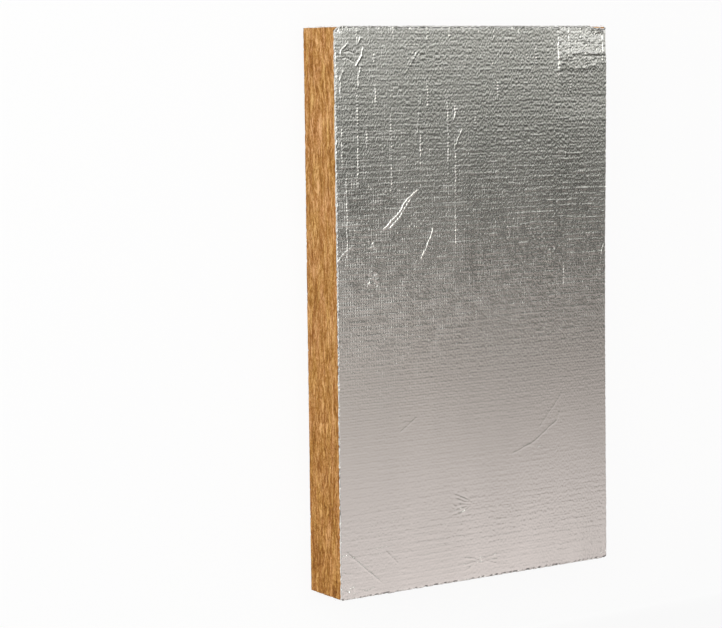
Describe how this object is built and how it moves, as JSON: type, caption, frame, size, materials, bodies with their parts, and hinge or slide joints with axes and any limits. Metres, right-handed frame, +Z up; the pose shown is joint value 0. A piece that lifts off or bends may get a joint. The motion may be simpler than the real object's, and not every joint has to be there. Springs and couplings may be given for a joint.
{
  "type": "stone wool insulation batt",
  "caption": "Flat rectangular slab of stone wool insulation, faced on top with reinforced aluminium foil that turns down over the edges.",
  "frame": {"origin": "middle of the underside, which is the bare wool face that the slab lies on", "axes": "+X across the width, +Y along the length, +Z up through the thickness to the foil face"},
  "size_m": [0.6, 1, 0.1],
  "materials": {
    "stone_wool": "matte",
    "foil": "satin"
  },
  "bodies": {
    "root": {"wool_slab": "stone_wool", "foil_facing": "foil"}
  },
  "joints": []
}
